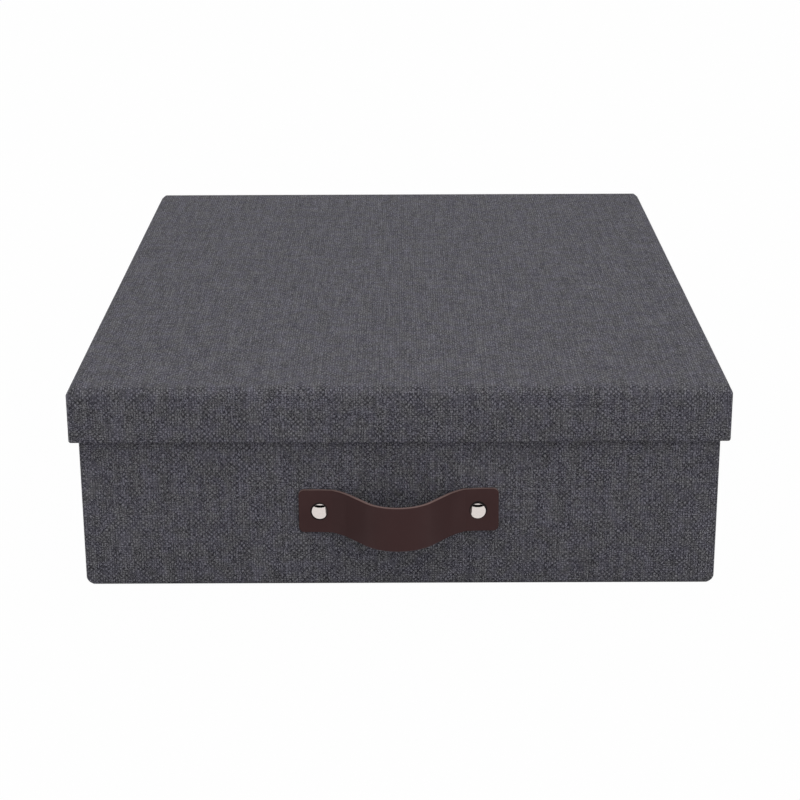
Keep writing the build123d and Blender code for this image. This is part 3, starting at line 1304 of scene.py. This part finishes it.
@dataclass
class Studio:
    """A white floor in an evenly lit white studio, and the camera of the photograph.

    Attributes:
        floor_half: Half the floor's side.
        floor_colour: The floor's colour for the light that it throws back.
        floor_shown: How much of a white glow replaces it where it is seen or mirrored.
        ambient: Strength of the world's light.
        band_middle: Sine of the height at which mirrors show the dark band.
        band_half: Half the band's width, also as a sine.
        band_core: How much of that is fully dark.
        pitch: How far the camera looks down.
    """

    floor_half: float = 6.0
    floor_colour: str = "#b4b4b4"
    floor_shown: float = 0.985
    ambient: float = 0.98
    band_middle: float = 0.49
    band_half: float = 0.19
    band_core: float = 0.7
    focal_length: float = 89.92
    sensor: float = 36.0
    camera_place: tuple[float, float, float] = (1.747 * MM, -904.41 * MM, 333.20 * MM)
    pitch: float = 0.33065
    yaw: float = 0.00197
    roll: float = -0.00426

    def seen_straight(self, tree: bpy.types.NodeTree) -> bpy.types.NodeSocket:
        """Give 1 for what the camera sees straight, in a reflection or through glass."""
        path = add_node(tree, "ShaderNodeLightPath")
        mirrored = add_node(
            tree,
            "ShaderNodeMath",
            {0: path.outputs["Is Camera Ray"], 1: path.outputs["Is Glossy Ray"]},
            operation="MAXIMUM",
        )
        through = add_node(
            tree,
            "ShaderNodeMath",
            {0: mirrored.outputs[0], 1: path.outputs["Is Transmission Ray"]},
            operation="MAXIMUM",
        )
        return through.outputs[0]

    def build_world(self) -> None:
        """Light the scene evenly. Metal mirrors white, with the dark gap under the light tent's roof."""
        world = bpy.data.worlds.new("studio")
        bpy.context.scene.world = world
        world.use_nodes = True
        tree = world.node_tree
        tree.nodes.clear()
        strength = add_node(
            tree,
            "ShaderNodeMapRange",
            {"Value": self.seen_straight(tree), "To Min": self.ambient, "To Max": 1.0},
        )
        toward = add_node(tree, "ShaderNodeTexCoord").outputs["Generated"]
        rise = add_node(tree, "ShaderNodeSeparateXYZ", {0: toward}).outputs["Z"]
        off_middle = add_node(tree, "ShaderNodeMath", {0: rise, 1: self.band_middle}, operation="SUBTRACT")
        distance = add_node(tree, "ShaderNodeMath", {0: off_middle.outputs[0]}, operation="ABSOLUTE")
        band = add_node(
            tree,
            "ShaderNodeMapRange",
            {
                "Value": distance.outputs[0],
                "From Min": self.band_core * self.band_half,
                "From Max": self.band_half,
                "To Min": 1.0,
                "To Max": 0.0,
            },
        )
        glossy = add_node(tree, "ShaderNodeLightPath").outputs["Is Glossy Ray"]
        hidden = add_node(tree, "ShaderNodeMath", {0: band.outputs[0], 1: glossy}, operation="MULTIPLY")
        kept = add_node(tree, "ShaderNodeMath", {0: 1.0, 1: hidden.outputs[0]}, operation="SUBTRACT")
        total = add_node(
            tree, "ShaderNodeMath", {0: strength.outputs[0], 1: kept.outputs[0]}, operation="MULTIPLY"
        )
        light = add_node(
            tree, "ShaderNodeBackground", {"Color": (1, 1, 1, 1), "Strength": total.outputs[0]}
        )
        add_node(tree, "ShaderNodeOutputWorld", {"Surface": light.outputs[0]})

    def build_floor(self) -> None:
        """Lay the floor, which shows white and keeps a faint shadow."""
        half = self.floor_half
        data = bpy.data.meshes.new("floor")
        corners = [(-half, -half, 0), (half, -half, 0), (half, half, 0), (-half, half, 0)]
        data.from_pydata(corners, [], [(0, 1, 2, 3)])
        floor = bpy.data.objects.new("floor", data)
        bpy.context.scene.collection.objects.link(floor)
        material, tree, shader = new_material("white_studio_floor")
        shader.inputs["Base Color"].default_value = linear(self.floor_colour)
        shader.inputs["Roughness"].default_value = 0.9
        shader.inputs["Specular IOR Level"].default_value = 0.0
        white = add_node(tree, "ShaderNodeEmission", {"Color": (1, 1, 1, 1), "Strength": 1.0})
        share = add_node(
            tree,
            "ShaderNodeMath",
            {0: self.seen_straight(tree), 1: self.floor_shown},
            operation="MULTIPLY",
        )
        mixed = add_node(
            tree,
            "ShaderNodeMixShader",
            {0: share.outputs[0], 1: shader.outputs[0], 2: white.outputs[0]},
        )
        output = next(node for node in tree.nodes if node.type == "OUTPUT_MATERIAL")
        tree.links.new(mixed.outputs[0], output.inputs["Surface"])
        data.materials.append(material)

    def build_camera(self) -> None:
        """Set up the camera of the photograph."""
        data = bpy.data.cameras.new("camera")
        data.sensor_width = self.sensor
        data.lens = self.focal_length
        data.clip_start, data.clip_end = 0.01, 50.0
        camera = bpy.data.objects.new("camera", data)
        turn = (
            Matrix.Rotation(self.yaw, 4, "Z")
            @ Matrix.Rotation(math.pi / 2 - self.pitch, 4, "X")
            @ Matrix.Rotation(self.roll, 4, "Z")
        )
        camera.matrix_world = Matrix.Translation(self.camera_place) @ turn
        bpy.context.scene.collection.objects.link(camera)
        bpy.context.scene.camera = camera

    def build(self) -> None:
        """Build everything that isn't the object."""
        self.build_world()
        self.build_floor()
        SoftBox("top_box", (0.15, -0.15, 1.5), (0, 0, 0.05), (1.2, 1.2), 2.0).build()
        SoftBox("front_box", (1.1, -2.0, 0.5), (0, -0.17, 0.04), (2.0, 1.6), 6.0).build()
        self.build_camera()
        bpy.context.scene.view_settings.view_transform = "Standard"


def dress(frame: dict, nodes: Sequence[str], material: bpy.types.Material) -> None:
    """Give solids of the frame a finish.

    Args:
        frame: The loaded frame.
        nodes: The solids' names.
        material: Their finish.
    """
    for name in nodes:
        solid = frame["nodes"][name]
        if not solid.material_slots:
            solid.data.materials.append(material)
        for slot in solid.material_slots:
            slot.material = material
    LOG.info("%s: on %s", material.name, ", ".join(nodes))


def main() -> None:
    """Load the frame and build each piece."""
    logging.basicConfig(level=logging.INFO, format="%(message)s")
    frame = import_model()
    Studio().build()

    corners = ("front_left", "front_right", "back_left", "back_right")
    linen = LinenPaper().build()
    strap = PullStrap()
    # The second value places the leather's painted shadow ring 0.4 mm past each cap's edge.
    leather = FinishedLeather(strap.rivet_path, strap.cap_radius + 0.4 * MM).build()
    nickel = NickelPlate().build()
    stays = [f"{part}_stay_{corner}" for part in ("box", "lid") for corner in corners]
    for nodes, paper in (
        (("box_liner", "lid_liner"), PlainPaper("lining_paper_pale_grey", colour="#cfcdc9", cloud="#c2c0bc")),
        (("base_sheet",), PlainPaper("base_paper_charcoal", colour="#545359", cloud="#48474d")),
        (("box_board", "lid_board"), PlainPaper("grey_board", colour="#a39a8d", cloud="#877e72")),
        (stays, PlainPaper("kraft_paper_tape", colour="#b08c63", cloud="#9c7a54")),
    ):
        dress(frame, nodes, paper.build())

    coverings = (
        Covering(
            name="box_covering",
            node="box_wrap",
            body="box",
            turned_over=False,
            front_bevel=1.4 * MM,
            side_bevel=3.0 * MM,
            turn_in=15 * MM,
            turn_under=15 * MM,
            seed=3.0,
        ),
        Covering(
            name="lid_covering",
            node="lid_wrap",
            body="lid",
            turned_over=True,
            front_bevel=2.4 * MM,
            side_bevel=2.4 * MM,
            turn_in=11 * MM,
            flap_lap=0.25 * MM,
            seed=11.0,
        ),
    )
    for covering in coverings:
        shown_as(covering.build(linen), covering.body, "linen_paper", covering.node)

    shown_as(strap.build(leather), "box", "leather", strap.node)
    for facing, height, section in (
        (Side.FRONT, 1.4 * MM, CapSection.DOMED),
        (Side.BACK, 0.7 * MM, CapSection.FLAT),
    ):
        end = facing.name.lower()
        nodes = (f"rivet_{end}_left", f"rivet_{end}_right")
        caps = RivetCaps(f"{end}_rivet_caps", nodes, facing, height, section)
        shown_as(caps.build(nickel), "box", "rivet_nickel", *caps.nodes)


if __name__ == "__main__":
    main()
